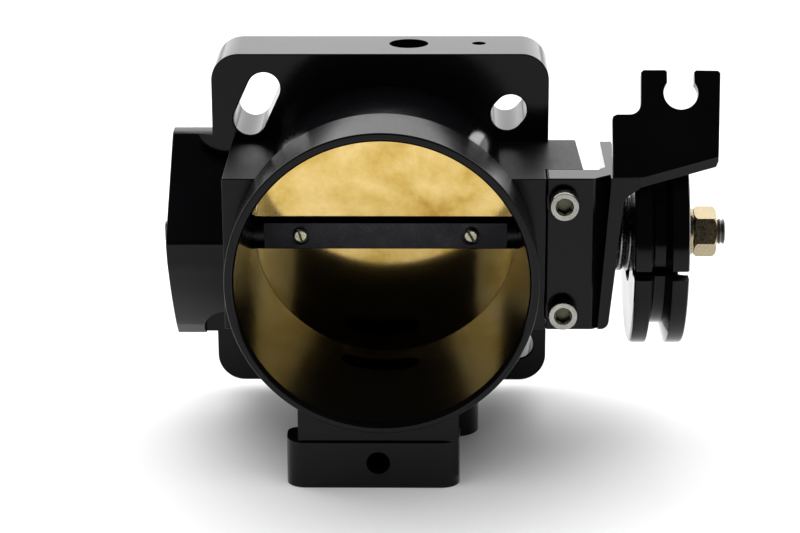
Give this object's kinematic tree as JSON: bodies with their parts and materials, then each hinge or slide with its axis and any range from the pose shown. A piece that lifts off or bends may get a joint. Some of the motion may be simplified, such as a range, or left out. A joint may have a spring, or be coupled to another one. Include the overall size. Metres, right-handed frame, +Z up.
{
  "type": "throttle body",
  "caption": "Cable-operated throttle body: round tapered bore with a brass butterfly plate on a cross shaft, square bolt flange, grooved cable pulley, return spring and cable bracket.",
  "frame": {"origin": "centre of the bounding box in plan, at the flat underside of the foot pad", "axes": "+X along the throttle shaft towards the cable pulley, +Y along the bore from the inlet collar to the mounting flange, +Z up"},
  "size_m": [0.1674, 0.087, 0.1147],
  "materials": {
    "throttle_housing": "gloss black anodised",
    "cable_bracket": "gloss black anodised",
    "throttle_pulley": "gloss black anodised",
    "shaft_bearing_left": "ground steel",
    "shaft_bearing_right": "ground steel",
    "shaft_seal_left": "moulded rubber",
    "shaft_seal_right": "moulded rubber",
    "bearing_retaining_ring": "black spring steel",
    "throttle_shaft": "blackened steel",
    "throttle_plate": "rolled brass sheet",
    "plate_screw_left": "bright steel",
    "plate_screw_right": "bright steel",
    "thrust_washer": "ground steel",
    "spring_spool": "moulded nylon",
    "pulley_washer": "yellow zinc plated",
    "shaft_nut": "yellow zinc plated",
    "return_spring": "drawn spring wire",
    "bracket_screw_upper": "stainless steel",
    "bracket_screw_lower": "stainless steel",
    "idle_stop_screw": "black oxide steel",
    "idle_stop_locknut": "yellow zinc plated"
  },
  "bodies": {
    "housing": {"throttle_housing": "throttle_housing", "cable_bracket": "cable_bracket", "shaft_bearing_left": "shaft_bearing_left", "shaft_bearing_right": "shaft_bearing_right", "shaft_seal_left": "shaft_seal_left", "shaft_seal_right": "shaft_seal_right", "bearing_retaining_ring": "bearing_retaining_ring", "thrust_washer": "thrust_washer", "return_spring": "return_spring", "bracket_screw_upper": "bracket_screw_upper", "bracket_screw_lower": "bracket_screw_lower", "idle_stop_screw": "idle_stop_screw", "idle_stop_locknut": "idle_stop_locknut"},
    "shaft_group": {"throttle_shaft": "throttle_shaft", "throttle_plate": "throttle_plate", "plate_screw_left": "plate_screw_left", "plate_screw_right": "plate_screw_right", "spring_spool": "spring_spool", "throttle_pulley": "throttle_pulley", "pulley_washer": "pulley_washer", "shaft_nut": "shaft_nut"}
  },
  "joints": [
    {"name": "throttle_shaft_turn", "type": "hinge", "parent": "housing", "child": "shaft_group", "pos_m": [-0.01765, 0.0085, 0.06145], "axis": [1, 0, 0], "range_deg": [0, 83], "stiffness_Nm_per_rad": 0.25, "springref_deg": -57.3}
  ]
}
